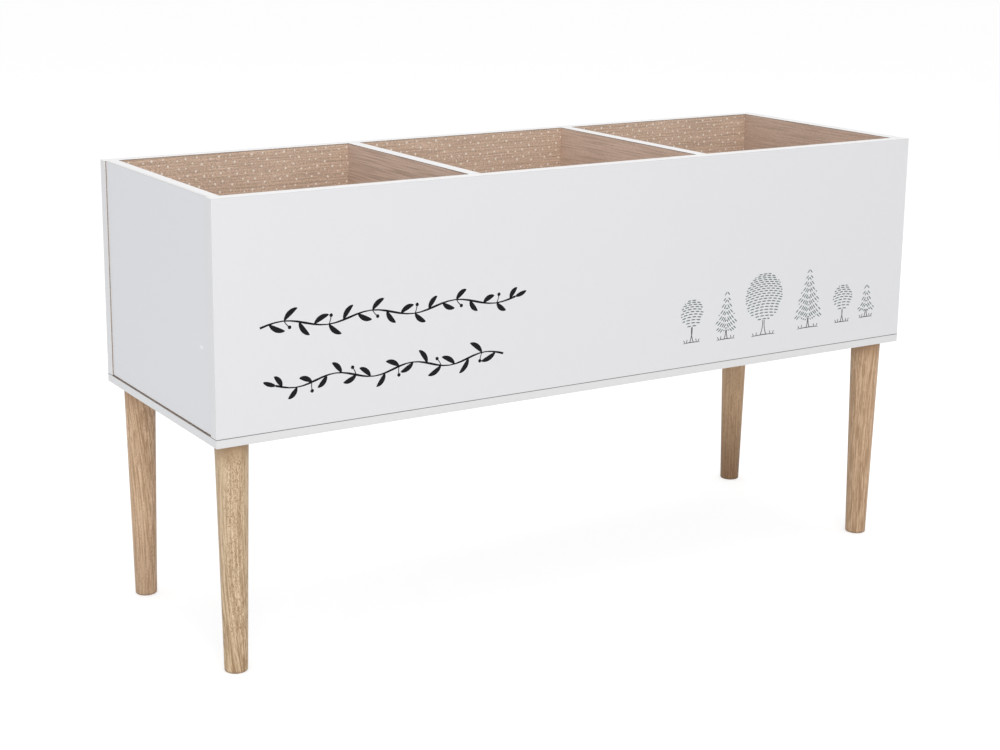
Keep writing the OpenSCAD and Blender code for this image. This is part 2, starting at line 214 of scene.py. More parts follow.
# The grain of a leg: dark and pale shades of its tone. It leans to the right as the photograph shows it,
# and wanders a little. The year rings lie round the pith, and the early wood of each opens and closes
# at these shares of the ring's width
LEG_DARK = (0.54, 0.46, 0.38)
LEG_PALE = (1.16, 1.18, 1.22)
LEAN_WAY = (0.87, -0.49)
GRAIN_WANDER = 5.0 * MM
RING_WIDTH = 3.2 * MM
RING_WANDER = 9.0 * MM
RING_OPENS = (0.0, 0.12)
RING_CLOSES = (0.60, 0.20)
LEG_WANDERS = ((30.0, 30.0, 9.0), 2.0, 0.5, 0.3)
LEG_CLOUDS = ((26.0, 26.0, 9.0), 2.0, 0.5)
LEG_STREAKS = ((400.0, 400.0, 10.0), 3.0, 0.65, 0.2)
LEG_LINES = ((640.0, 640.0, 17.0), 2.0, 0.6, 0.2)
LEG_PORES_ACROSS = 800.0
LEG_PORES_CHARACTER = (2.0, 0.6, 0.3)
LEG_CLOUD_BAND = (0.3, 0.7, 0.16)
LEG_EARLY_BAND = (0.0, 1.0, 0.28)
LEG_STREAK_DARK = (0.51, 0.62, 0.66)
LEG_STREAK_PALE = (0.49, 0.38, 0.62)
LEG_LINE_BAND = (0.54, 0.59, 0.66)
LEG_PORE_BAND = (0.54, 0.62, 1.0)
LEG_PORE_SHARE = 0.40
EARLY_PORE_SHARE = 0.30
LEG_PORE_HEIGHT = -1.0
LEG_STREAK_HEIGHT = -0.3

# Ray flecks: winding lines on the faces that lie across the line to the pith. They come up as a face
# turns away from that line, between these cosines, and end above the foot
RAY_LINES = ((330.0, 330.0, 150.0), 1.0, 0.5, 1.1)
RAY_FACES = (0.88, 0.30)
RAY_DARK = (0.042, 0.017, 1.0)
RAY_PALE = (0.050, 0.120, 0.22)
RAY_FOOT = 30.0 * MM

# Painted shade on a leg: towards its foot, round the foot's rim, and close under the base, as the base's
# shadow
FOOT_SHADE_TOP = 0.14
FOOT_RIM = 4.5 * MM
FOOT_RIM_SHADE_SHARE = 0.60
FOOT_RIM_SHADE = (0.5, 0.5, 0.5)
CONTACT_SHADE_DEPTH = 30.0 * MM
CONTACT_SHADE_SHARE = 0.85

# Metal fittings: the colours, roughness and streaks of their skin. The roughness swings with the streaks,
# over this range of their pattern
ZINC = (0.620, 0.630, 0.650)
ZINC_DARK = (0.440, 0.450, 0.470)
DIE_CAST = (0.500, 0.505, 0.515)
ZINC_ROUGHNESS = 0.34
DIE_CAST_ROUGHNESS = 0.48
ZINC_STREAKS = ((300.0, 300.0, 300.0), 3.0, 0.6)
DIE_CAST_STREAKS = ((300.0, 300.0, 120.0), 3.0, 0.6)
METAL_BAND = (0.35, 0.65, 1.0)
METAL_GRIT = ((2500.0, 2500.0, 2500.0), 2.0)
METAL_RELIEF = 0.02 * MM
ROUGHNESS_SWING = 0.08
ROUGHNESS_RANGE = (0.3, 0.7)

# Beech dowels, which lie along Y
BEECH = (0.620, 0.420, 0.270)
BEECH_DARK = (0.480, 0.300, 0.180)
BEECH_FLECKS = ((900.0, 160.0, 900.0), 2.0, 0.6)
BEECH_STRIPES = ((200.0, 12.0, 200.0), 3.0, 0.5)
BEECH_STRIPE_BAND = (0.35, 0.65, 0.5)
BEECH_FLECK_BAND = (0.58, 0.68, 0.6)
BEECH_ROUGHNESS = 0.6
BEECH_RELIEF = 0.04 * MM

# Ink of the prints on the front board, which covers a little unevenly
INK_BLACK = (0.005, 0.005, 0.006)
INK_LINE = (0.020, 0.021, 0.022)
INK_GREY = (0.135, 0.175, 0.167)
INK_WORN = (1.5, 1.5, 1.5)
INK_COVER = ((900.0, 900.0, 900.0), 2.0, 0.6)
INK_WORN_BAND = (0.45, 0.75, 0.6)
INK_ROUGHNESS = 0.6
INK_GLOSS = 0.15
FRONT_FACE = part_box("front_panel")[0].y
PRINT_RISE = 0.05 * MM
PRINT_ROOT = 0.02 * MM

# From here on the sizes of the prints are in millimetres, and angles in degrees. The leafy branches:
# each one's start, its length, 1 where it grows to the right and -1 to the left, its waves and its leaves
BRANCHES = (
    ((-446.0, 403.0), 330.0, 1, 3, 18),
    ((-132.0, 336.0), 296.0, -1, 3, 16),
)
WAVE_STEPS = 12
STEM_SWING = 5.0
STEM_WIDTH = 1.4
STEM_KNOT = 1.2
STEM_KNOT_STEPS = 6
LEAF_START = 0.6
LEAF_ANGLE = 62.0
LEAF_BEND = 46.0
LEAF_LENGTH = 22.0
LEAF_LENGTH_LOSS = 6.0
LEAF_WIDTH = 6.2
LEAF_END = 0.5
TIP_LENGTH = 16.0
TIP_BEND = 12.0
TIP_WIDTH = 5.2
TIP_END = 1.0
BRUSH_POWER = 0.7
BERRY_EVERY = 3
BERRY_SIZE = 4.4
BERRY_END = 0.9
STALK_LENGTH = 8.0
STALK_BEND = 20.0
STALK_WIDTH = 1.1

# The little wood: round trees as (centre, ground, crown's height, its radius, half the trunk's width),
# and firs as (centre, ground, crown's foot, top, half the crown's width)
ROUND_TREES = ((148, 315, 352, 18.0, 1.6), (264, 311, 361, 31.0, 2.6), (398, 313, 346, 17.0, 1.5))
FIR_TREES = ((203, 313, 322, 374, 19.0), (339, 312, 322, 389, 25.0), (440, 315, 322, 358, 14.0))
FIR_TRUNK_HALF = 1.5
OUTLINE_WIDTH = 1.0
OUTLINE_END = 0.4

# Its crowns are drawn in rows of short dashes
HATCH_WIDTH = 1.45
HATCH_END = 0.7
HATCH_DASH = 6.2
HATCH_LEAST = 1.5
HATCH_PITCH = 8.0
HATCH_ROWS = 3.3
HATCH_STAGGER = 0.618
ROUND_BOW = 34.0
FIR_SLOPE = 50.0
FIR_BOW = 24.0
FIR_TIER = 4
FIR_NOTCH = 0.30
FIR_SPINE_HALF = 0.6

# Trunks reach a little into the crown and flare at the ground. Blades of grass stand on the line of
# soil, each at a point of it, with its lean. Half the soil's length is a share of half the crown's
# width, and so much more
ROUND_TRUNK_TOP = 1.0
ROUND_SOIL = (0.5, 4.0)
FIR_TRUNK_TOP = 3.0
FIR_SOIL = (0.6, 3.0)
TRUNK_FLARE = 1.8
TRUNK_SPLAY = 24.0
TRUNK_BEND = 28.0
SOIL_SINK = 0.6
SOIL_TILT = 5.0
GRASS_HEIGHT = 4.6
GRASS_BLADES = ((1, 20.0), (2, -8.0), (8, 10.0), (9, -18.0))


class Graph:
    """One material's node tree. Each method adds a node and gives back its main output."""

    def __init__(self, name):
        self.material = bpy.data.materials.new(name)
        self.material.use_nodes = True
        self.nodes = self.material.node_tree.nodes
        self.links = self.material.node_tree.links
        self.nodes.clear()

    def node(self, kind, **settings):
        made = self.nodes.new(kind)
        for key, value in settings.items():
            setattr(made, key, value)
        return made

    def feed(self, socket, value):
        """Links a socket to an output, or sets it to a constant."""
        if isinstance(value, bpy.types.NodeSocket):
            self.links.new(value, socket)
        elif isinstance(value, tuple) and socket.type == "RGBA":
            socket.default_value = (*value, 1.0)
        else:
            socket.default_value = value

    def place(self):
        """The place on the object, in the frame."""
        return self.node("ShaderNodeTexCoord").outputs["Object"]

    def math(self, operation, a, b=0.0):
        made = self.node("ShaderNodeMath", operation=operation)
        self.feed(made.inputs[0], a)
        self.feed(made.inputs[1], b)
        return made.outputs[0]

    def vector(self, operation, a, b=(0.0, 0.0, 0.0)):
        made = self.node("ShaderNodeVectorMath", operation=operation)
        self.feed(made.inputs[0], a)
        self.feed(made.inputs[1], b)
        return made.outputs["Value" if operation in ("DISTANCE", "LENGTH", "DOT_PRODUCT") else "Vector"]

    def parts(self, vector):
        made = self.node("ShaderNodeSeparateXYZ")
        self.feed(made.inputs[0], vector)
        return made.outputs

    def join(self, x, y, z=0.0):
        made = self.node("ShaderNodeCombineXYZ")
        for socket, value in zip(made.inputs, (x, y, z)):
            self.feed(socket, value)
        return made.outputs[0]

    def noise(self, vector, detail=2.0, roughness=0.5, distortion=0.0):
        made = self.node("ShaderNodeTexNoise")
        self.feed(made.inputs["Vector"], vector)
        made.inputs["Scale"].default_value = 1.0
        made.inputs["Detail"].default_value = detail
        made.inputs["Roughness"].default_value = roughness
        made.inputs["Distortion"].default_value = distortion
        return made.outputs[0]

    def cells(self, vector):
        """The random shade of a cell pattern."""
        made = self.node("ShaderNodeTexVoronoi")
        self.feed(made.inputs["Vector"], vector)
        made.inputs["Scale"].default_value = 1.0
        return self.parts(made.outputs["Color"])[0]

    def step(self, value, start, end, low=0.0, high=1.0):
        """A smooth step from low at start to high at end."""
        made = self.node("ShaderNodeMapRange", interpolation_type="SMOOTHSTEP")
        for name, number in (
            ("Value", value), ("From Min", start), ("From Max", end), ("To Min", low), ("To Max", high)
        ):
            self.feed(made.inputs[name], number)
        return made.outputs[0]

    def mix(self, share, a, b, blend="MIX"):
        made = self.node("ShaderNodeMix", data_type="RGBA", blend_type=blend)
        self.feed(made.inputs[0], share)
        self.feed(made.inputs[6], a)
        self.feed(made.inputs[7], b)
        return made.outputs[2]

    def bump(self, height, distance):
        made = self.node("ShaderNodeBump")
        made.inputs["Strength"].default_value = 1.0
        made.inputs["Distance"].default_value = distance
        self.feed(made.inputs["Height"], height)
        return made.outputs[0]

    def surface(self, colour, roughness, normal=None, **constants):
        """Ends the tree in a Principled shader and gives back the material."""
        shader = self.node("ShaderNodeBsdfPrincipled")
        self.feed(shader.inputs["Base Color"], colour)
        self.feed(shader.inputs["Roughness"], roughness)
        if normal is not None:
            self.feed(shader.inputs["Normal"], normal)
        for name, value in constants.items():
            shader.inputs[name.replace("_", " ")].default_value = value
        end = self.node("ShaderNodeOutputMaterial")
        self.links.new(shader.outputs[0], end.inputs["Surface"])
        return self.material


def shaded(colour, shade):
    """A colour with each of its channels scaled by a shade, and none above one."""
    return tuple(min(1.0, channel * share) for channel, share in zip(colour, shade))


def scaled(graph, place, per_metre, shift=(0.0, 0.0, 0.0)):
    """The place in pattern steps: so many per metre along each axis, moved by shift."""
    return graph.vector("ADD", graph.vector("MULTIPLY", place, per_metre), shift)


def spread(graph, place, pattern, shift=(0.0, 0.0, 0.0)):
    """A noise pattern laid out over the place."""
    per_metre, *character = pattern
    return graph.noise(scaled(graph, place, per_metre, shift), *character)


def tint(graph, value, band, show=1.0):
    """A share that grows across a band of values, to the band's own share times how much it shows."""
    start, full, most = band
    return graph.step(value, start, full, 0.0, most * show)


def grain_steps(axis, along, across):
    """Steps per metre for a pattern drawn out along one axis."""
    return tuple(along if i == axis else across for i in range(3))


def foil_spread(graph, place, axis, pattern, shift):
    """A pattern of the oak foil, with its grain along an axis."""
    steps, *character = pattern
    return graph.noise(scaled(graph, place, grain_steps(axis, *steps), shift), *character)


def foil_lines(graph, place, axis, shift):
    """Long, slightly winding dark lines along the grain, as a share that fades in and out."""
    across = graph.vector("DOT_PRODUCT", place, grain_steps(axis, 0.0, 2 * math.pi / FOIL_PITCH))
    winding = graph.math("MULTIPLY", foil_spread(graph, place, axis, FOIL_BENDS, shift), FOIL_WINDING)
    wave = graph.math("SINE", graph.math("ADD", across, winding))
    fade = foil_spread(graph, place, axis, FOIL_FADES, shift)
    return graph.math("MULTIPLY", tint(graph, wave, FOIL_LINE_BAND), graph.step(fade, *FOIL_FADE_RANGE))


def foil_oak(graph, place, axis, shows, shade, shift):
    """Printed oak with its grain along an axis. shows is how much its winding lines, its long streaks
    and its short ticks show. Gives the colour and the height of its pores."""
    winding, streaky, ticked = shows
    lines = graph.math("MULTIPLY", foil_lines(graph, place, axis, shift), winding)
    streak = foil_spread(graph, place, axis, FOIL_STREAKS, shift)
    pores = foil_spread(graph, place, axis, FOIL_TICKS, shift)
    colour = graph.mix(lines, OAK_FOIL, OAK_FOIL_DARK)
    colour = graph.mix(tint(graph, streak, FOIL_STREAK_DARK, streaky), colour, OAK_FOIL_DARK)
    colour = graph.mix(tint(graph, streak, FOIL_STREAK_PALE, streaky), colour, OAK_FOIL_LIGHT)
    colour = graph.mix(tint(graph, pores, FOIL_TICK_DARK, ticked), colour, OAK_FOIL_DARK)
    colour = graph.mix(tint(graph, pores, FOIL_TICK_PALE, ticked), colour, OAK_FOIL_LIGHT)
    # shade scales the oak's colour: partly its tone, partly painted light and shade
    return graph.mix(1.0, colour, shade, "MULTIPLY"), pores


def dot_mask(graph, place):
    """One inside the dots of the back board and zero outside."""
    x, _, z = graph.parts(graph.vector("MULTIPLY", place, (1 / MM, 1 / MM, 1 / MM)))
    left, top = DOT_CORNER
    across = graph.math("FLOORED_MODULO", graph.math("SUBTRACT", x, left), TILE)
    down = graph.math("FLOORED_MODULO", graph.math("SUBTRACT", top, z), TILE)
    spot = graph.join(across, down)
    nearest = TILE
    for radius, dots in ((LARGE_DOT, LARGE_DOTS), (SMALL_DOT, SMALL_DOTS)):
        for dot in dots:
            distance = graph.vector("DISTANCE", spot, (float(dot[0]), float(dot[1]), 0.0))
            nearest = graph.math("MINIMUM", nearest, graph.math("SUBTRACT", distance, radius))
    return graph.step(nearest, DOT_EDGE, -DOT_EDGE)


def raw_edge_and_joint_shade(graph, z, foot):
    """The share of a dark band by the joint of walls and base: on a wall's unedged lower edge partly bare
    core and partly painted shade, on the edging partly the joint itself and partly painted shade.
    """
    return graph.step(z, foot + RAW_EDGE + LINE_EDGE, foot + RAW_EDGE - LINE_EDGE, 0.0, RAW_EDGE_AND_SHADE_SHARE)


def rim_seam(graph, place, rim):
    """One on the edging of a wall's rim, above the seam, and zero below it."""
    return graph.step(graph.parts(place)[2], rim - SEAM - LINE_EDGE, rim - SEAM + LINE_EDGE)


def seamed(graph, colour, seam, share):
    """The colour of a face with its dark seam. The base has none."""
    if seam is None:
        return colour
    return graph.mix(graph.math("MULTIPLY", seam, share), colour, JOINT_DARK_AND_SHADE)


def dent_share(graph, place):
    """One in the middle of the dent and zero outside it."""
    away = graph.vector("SUBTRACT", place, DENT_PLACE)
    away = graph.vector("MULTIPLY", away, (0.0, 1.0 / DENT_HALF[0], 1.0 / DENT_HALF[1]))
    return graph.step(graph.vector("LENGTH", away), 1.0, DENT_TOP)


def oak_face(graph, place, name, seam, grain, shows, shade, shift):
    """The colour and the height of a board's oak side."""
    colour, pores = foil_oak(graph, place, grain, shows, shade, shift)
    if name == "back_panel":
        colour = graph.mix(dot_mask(graph, place), colour, DOT_WHITE)
    outwards = graph.math("ABSOLUTE", graph.parts(place)[0])
    # Painted shade in the narrow groove outside each side wall
    groove_shade = graph.step(outwards, SIDE_FACE - LINE_EDGE, SIDE_FACE + LINE_EDGE, 0.0, GROOVE_SHADE_SHARE)
    colour = graph.mix(groove_shade, colour, JOINT_DARK_AND_SHADE)
    return seamed(graph, colour, seam, OAK_SEAM_SHARE), graph.math("MULTIPLY", pores, PORE_HEIGHT)


def white_face(graph, place, name, seam):
    """The colour and the height of a board's white side, with a trace of cloud and a fine skin."""
    cloud = spread(graph, place, FOIL_CLOUDS)
    colour = graph.mix(tint(graph, cloud, FOIL_CLOUD_BAND), WHITE_FOIL, WHITE_FOIL_CLOUD)
    skin = spread(graph, place, FOIL_SKIN)
    if name == "left_side_panel":
        dent = dent_share(graph, place)
        # The dent: a real bump, with a painted highlight in a lighter colour
        colour = graph.mix(dent, colour, DENT_HIGHLIGHT)
        skin = graph.math("ADD", skin, graph.math("MULTIPLY", dent, DENT_RISE))
    return seamed(graph, colour, seam, WHITE_SEAM_SHARE), skin


def both_faces(graph, oak, white, is_white):
    """The colour and the height of a board, from those of its oak side and of its white side."""
    oak_height = graph.math("MULTIPLY", oak[1], graph.math("SUBTRACT", 1.0, is_white))
    white_height = graph.math("MULTIPLY", white[1], graph.math("MULTIPLY", is_white, SKIN_HEIGHT))
    return graph.mix(is_white, oak[0], white[0]), graph.math("ADD", oak_height, white_height)


def with_core(graph, place, colour, depth, low, high):
    """The colour of a board, with its core wherever the surface lies deeper than the foils."""
    core = graph.mix(graph.cells(scaled(graph, place, CORE_CHIPS)), CORE_DARK, CORE_LIGHT)
    from_low = graph.math("SUBTRACT", depth, low)
    inside = graph.math("MINIMUM", from_low, graph.math("SUBTRACT", high, depth))
    return graph.mix(graph.step(inside, FOIL_DEPTH, FOIL_DEPTH + LINE_EDGE), colour, core)


def board_finish(name, thick, white, grain, shows, shade, shift):
    """A foiled board. thick is the axis across it, white the side of it that is white ("low", "high"
    or None), grain the axis along which the oak of the other side runs, shows how much its lines,
    streaks and ticks show, and shade its tone, partly painted light and shade on its oak side."""
    low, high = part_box(name)
    graph = Graph(name + "_finish")
    place = graph.place()
    depth = graph.parts(place)[thick]
    is_wall = thick != UP_AXIS
    seam = rim_seam(graph, place, high.z) if is_wall else None
    colour, height = oak_face(graph, place, name, seam, grain, shows, shade, shift)
    if white:
        middle = (low[thick] + high[thick]) / 2
        ends = (1.0, 0.0) if white == "low" else (0.0, 1.0)
        is_white = graph.step(depth, middle - MM, middle + MM, *ends)
        white_side = white_face(graph, place, name, seam)
        colour, height = both_faces(graph, (colour, height), white_side, is_white)
    if is_wall:
        # A dark band on the wall's lower edge: partly bare core, partly painted shade in the joint
        colour = graph.mix(raw_edge_and_joint_shade(graph, graph.parts(place)[2], low.z), colour, JOINT_DARK_AND_SHADE)
    colour = with_core(graph, place, colour, depth, low[thick], high[thick])
    return graph.surface(colour, BOARD_ROUGHNESS, graph.bump(height, BOARD_RELIEF))


def edging_finish(name, arris_shade_share):
    """Edging strip, dark along the joint of walls and base, partly painted shade, and, by
    arris_shade_share, with painted shade along its outer arris.
    """
    graph = Graph(name)
    place = graph.place()
    x, _, z = graph.parts(place)
    cloud = tint(graph, spread(graph, place, EDGING_CLOUDS), EDGING_CLOUD_BAND)
    colour = graph.mix(cloud, WHITE_EDGING, shaded(WHITE_EDGING, EDGING_CLOUD_SHADE))
    # A dark line along the joint of walls and base: partly the joint itself, partly painted shade
    off_joint = graph.math("ABSOLUTE", graph.math("SUBTRACT", z, BASE_TOP))
    colour = graph.mix(raw_edge_and_joint_shade(graph, off_joint, 0.0), colour, JOINT_DARK_AND_SHADE)
    # Painted shade on the outer arris of a side wall's edging
    outwards = graph.math("ABSOLUTE", x)
    begin = SIDE_FACE - ARRIS
    arris_shade = graph.step(outwards, begin - ARRIS_EDGE, begin + ARRIS_EDGE, 0.0, arris_shade_share)
    colour = graph.mix(arris_shade, colour, JOINT_DARK_AND_SHADE)
    skin = spread(graph, place, EDGING_SKIN)
    return graph.surface(colour, EDGING_ROUGHNESS, graph.bump(skin, EDGING_RELIEF))


def leg_fibre(graph, place, top, lean, shift):
    """The place on a leg, moved so that what runs straight in it winds and leans with the grain, and
    the wandering that winds it."""
    wander = spread(graph, place, LEG_WANDERS, shift)
    drift = graph.math("MULTIPLY", graph.math("SUBTRACT", wander, 0.5), GRAIN_WANDER)
    rise = graph.math("DIVIDE", graph.parts(place)[2], top)
    tilt = graph.math("MULTIPLY", rise, graph.math("ADD", lean[0], graph.math("MULTIPLY", rise, lean[1])))
    across = graph.math("ADD", drift, graph.math("MULTIPLY", tilt, LEAN_WAY[0]))
    back = graph.math("ADD", drift, graph.math("MULTIPLY", tilt, LEAN_WAY[1]))
    return graph.vector("ADD", place, graph.join(across, back)), wander


def early_wood(graph, fibre, wander, pith):
    """One in the porous early wood of each year ring and zero in its late wood."""
    x, y, _ = graph.parts(fibre)
    reach = graph.vector("DISTANCE", graph.join(x, y), (*pith, 0.0))
    reach = graph.math("ADD", reach, graph.math("MULTIPLY", wander, RING_WANDER))
    ring = graph.math("FRACT", graph.math("DIVIDE", reach, RING_WIDTH))
    return graph.math("MULTIPLY", graph.step(ring, *RING_OPENS), graph.step(ring, *RING_CLOSES))


def leg_pores(graph, fibre, early, pores, shift):
    """The share of dark pores, more of them in the early wood."""
    pattern = ((LEG_PORES_ACROSS, LEG_PORES_ACROSS, pores), *LEG_PORES_CHARACTER)
    pore = tint(graph, spread(graph, fibre, pattern, shift), LEG_PORE_BAND)
    most = graph.math("ADD", graph.math("MULTIPLY", early, EARLY_PORE_SHARE), LEG_PORE_SHARE)
    return graph.math("MULTIPLY", pore, most)


def ray_flecks(graph, place, pith, flecks, shift):
    """Winding oak rays, as the shares of their dark lines and of the pale wood between them."""
    x, y, z = graph.parts(place)
    to_pith = tuple(Vector((*pith, 0.0)).normalized())
    facing = graph.vector("DOT_PRODUCT", graph.vector("NORMALIZE", graph.join(x, y)), to_pith)
    across = graph.step(graph.math("ABSOLUTE", facing), *RAY_FACES)
    across = graph.math("MULTIPLY", across, graph.step(z, RAY_FOOT, 2 * RAY_FOOT))
    line = graph.math("ABSOLUTE", graph.math("SUBTRACT", spread(graph, place, RAY_LINES, shift), 0.5))
    shares = []
    for start, full, most in (RAY_DARK, RAY_PALE):
        show = graph.math("MULTIPLY", across, most * flecks)
        shares.append(graph.math("MULTIPLY", graph.step(line, start, full), show))
    return shares


def leg_shade(graph, colour, z, top, foot, dark):
    """The colour of a leg with painted shade: darker towards its foot, round the foot's rim and close
    under the base.
    """
    # Painted shade: darker towards the foot and round the foot's rim, and the base's shadow close under
    # it
    painted_foot_shade = graph.mix(1.0, colour, foot, "MULTIPLY")
    colour = graph.mix(graph.step(z, FOOT_SHADE_TOP, 0.0), colour, painted_foot_shade)
    rim = graph.step(z, FOOT_RIM, 0.0, 0.0, FOOT_RIM_SHADE_SHARE)
    colour = graph.mix(rim, colour, shaded(dark, FOOT_RIM_SHADE))
    return graph.mix(graph.step(z, top - CONTACT_SHADE_DEPTH, top, 0.0, CONTACT_SHADE_SHARE), colour, dark)


def leg_finish(name, tone, foot, pith, lean, flecks, strength, pores, seed):
    """Solid oak turned with its grain upright: rings cut lengthwise, streaks, pores and ray flecks."""
    low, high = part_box(name)
    axis = ((low.x + high.x) / 2, (low.y + high.y) / 2, 0.0)
    dark = shaded(tone, LEG_DARK)
    pale = shaded(tone, LEG_PALE)
    shift = tuple(seed * steps for steps in LEG_SHIFT)
    graph = Graph(name + "_finish")
    place = graph.vector("SUBTRACT", graph.place(), axis)
    z = graph.parts(place)[2]
    show = graph.step(z, high.z, 0.0, *strength)
    fibre, wander = leg_fibre(graph, place, high.z, lean, shift)
    early = early_wood(graph, fibre, wander, pith)
    streak = spread(graph, fibre, LEG_STREAKS, shift)
    lines = spread(graph, fibre, LEG_LINES, shift)
    colour = graph.mix(tint(graph, spread(graph, place, LEG_CLOUDS, shift), LEG_CLOUD_BAND), tone, dark)
    for value, band, other in (
        (early, LEG_EARLY_BAND, dark),
        (streak, LEG_STREAK_DARK, dark),
        (streak, LEG_STREAK_PALE, pale),
        (lines, LEG_LINE_BAND, dark),
    ):
        colour = graph.mix(graph.math("MULTIPLY", tint(graph, value, band), show), colour, other)
    pore = leg_pores(graph, fibre, early, pores, shift)
    ray_dark, ray_pale = ray_flecks(graph, place, pith, flecks, shift)
    for share, other in ((pore, dark), (ray_dark, dark), (ray_pale, pale)):
        colour = graph.mix(share, colour, other)
    colour = leg_shade(graph, colour, z, high.z, foot, dark)
    pore_height = graph.math("MULTIPLY", pore, LEG_PORE_HEIGHT)
    height = graph.math("ADD", pore_height, graph.math("MULTIPLY", streak, LEG_STREAK_HEIGHT))
    return graph.surface(colour, LEG_ROUGHNESS, graph.bump(height, LEG_RELIEF))


def metal_finish(name, pale, dark, roughness, streaks):
    """Plated or die-cast metal with a slightly uneven skin."""
    graph = Graph(name)
    place = graph.place()
    cloud = spread(graph, place, streaks)
    colour = graph.mix(tint(graph, cloud, METAL_BAND), pale, dark)
    rough = graph.step(cloud, *ROUGHNESS_RANGE, roughness - ROUGHNESS_SWING, roughness + ROUGHNESS_SWING)
    grit = spread(graph, place, METAL_GRIT)
    return graph.surface(colour, rough, graph.bump(grit, METAL_RELIEF), Metallic=1.0)


def dowel_finish():
    """Beech with short darker flecks along the dowel."""
    graph = Graph("beech_finish")
    place = graph.place()
    fleck = spread(graph, place, BEECH_FLECKS)
    stripe = spread(graph, place, BEECH_STRIPES)
    colour = graph.mix(tint(graph, stripe, BEECH_STRIPE_BAND), BEECH, BEECH_DARK)
    colour = graph.mix(tint(graph, fleck, BEECH_FLECK_BAND), colour, BEECH_DARK)
    return graph.surface(colour, BEECH_ROUGHNESS, graph.bump(fleck, BEECH_RELIEF))


def ink_finish(name, colour):
    """Screen ink: a little uneven in how well it covers."""
    graph = Graph(name + "_finish")
    cover = spread(graph, graph.place(), INK_COVER)
    colour = graph.mix(tint(graph, cover, INK_WORN_BAND), colour, shaded(colour, INK_WORN))
    return graph.surface(colour, INK_ROUGHNESS, Specular_IOR_Level=INK_GLOSS)


def dress(names, material):
    """Gives nodes of the frame a material."""
    for name in names:
        mesh = frame["nodes"][name].data
        mesh.materials.clear()
        mesh.materials.append(material)


def dress_boards():
    for number, (name, board) in enumerate(BOARDS.items()):
        shift = tuple(steps * number for steps in BOARD_SHIFT)
        dress([name], board_finish(name, *board, shift))


def dress_hardware():
    nodes = frame["nodes"]
    side_edging = ("left_side_edging", "right_side_edging")
    dress(side_edging, edging_finish("side_edging_finish", ARRIS_SHADE_SHARE))
    other_edging = [n for n in nodes if n.endswith("_edging") and n not in side_edging]
    dress(other_edging, edging_finish("white_edging_finish", 0.0))
    steel = metal_finish("zinc_steel_finish", ZINC, ZINC_DARK, ZINC_ROUGHNESS, ZINC_STREAKS)
    dress([n for n in nodes if n.endswith(("_hanger_bolt", "_tee_nut", "_screws", "_cam_bolts"))], steel)
    cast = metal_finish("die_cast_finish", DIE_CAST, ZINC_DARK, DIE_CAST_ROUGHNESS, DIE_CAST_STREAKS)
    dress([n for n in nodes if n.endswith("_cams")], cast)
    dress([n for n in nodes if n.endswith("_dowels")], dowel_finish())


def dress_legs():
    for name, oak in LEG_OAK.items():
        dress([name], leg_finish(name, **oak))


class Ink:
    """Flat strokes of one ink on the front board, gathered into one mesh."""

    def __init__(self, name, colour):
        self.name = name
        self.colour = colour
        self.mesh = bmesh.new()

    def stroke(self, path, widths):
        """Adds a closed flat stroke along a path of (x, z) points, with its width at each of them."""
        last = None
        for number, (point, width) in enumerate(zip(path, widths)):
            before, after = path[max(number - 1, 0)], path[min(number + 1, len(path) - 1)]
            along = (after - before).normalized()
            side = Vector((-along.y, along.x)) * width / 2
            ring = [
                self.mesh.verts.new((spot.x * MM, depth, spot.y * MM))
                for spot, depth in (
                    (point + side, FRONT_FACE - PRINT_RISE),
                    (point - side, FRONT_FACE - PRINT_RISE),
                    (point - side, FRONT_FACE + PRINT_ROOT),
                    (point + side, FRONT_FACE + PRINT_ROOT),
                )
            ]
            if last:
                for corner in range(4):
                    beside = (corner + 1) % 4
                    self.mesh.faces.new((last[corner], last[beside], ring[beside], ring[corner]))
            else:
                self.mesh.faces.new(ring)
            last = ring
        self.mesh.faces.new(last)

    def finish(self):
        """Makes the mesh a piece of the object."""
        bmesh.ops.recalc_face_normals(self.mesh, faces=self.mesh.faces)
        data = bpy.data.meshes.new(self.name)
        self.mesh.to_mesh(data)
        self.mesh.free()
        data.materials.append(ink_finish(self.name, self.colour))
        piece = bpy.data.objects.new(self.name, data)
        bpy.context.scene.collection.objects.link(piece)
        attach(piece, "root")


def swept(start, heading, length, bend, steps):
    """Points of a stroke that heads off from its start at an angle and turns evenly by bend degrees."""
    points = [Vector(start)]
    for step in range(steps):
        angle = math.radians(heading + bend * (step + 0.5) / steps)
        points.append(points[-1] + Vector((math.cos(angle), math.sin(angle))) * length / steps)
    return points


def swell(path, thick, thin):
    """Widths that grow from thin at the ends of a path to thick at its middle."""
    last = len(path) - 1
    swells = [math.sin(math.pi * step / last) ** BRUSH_POWER for step in range(last + 1)]
    return [thin + (thick - thin) * share for share in swells]


def berry(ink, start, heading):
    """A round berry on a thin stalk."""
    stalk = swept(start, heading, STALK_LENGTH, STALK_BEND, steps=5)
    ink.stroke(stalk, [STALK_WIDTH] * len(stalk))
    ball = swept(stalk[-1], heading + STALK_BEND, BERRY_SIZE, 0.0, steps=10)
    ink.stroke(ball, swell(ball, BERRY_SIZE, BERRY_END))


def waving_stem(start, length, way, waves):
    """Points of a stem that swings about a level line."""
    steps = WAVE_STEPS * waves
    stem = []
    for step in range(steps + 1):
        x = start[0] + way * length * step / steps
        z = start[1] + STEM_SWING * math.sin(2 * math.pi * waves * step / steps)
        stem.append(Vector((x, z)))
    return stem


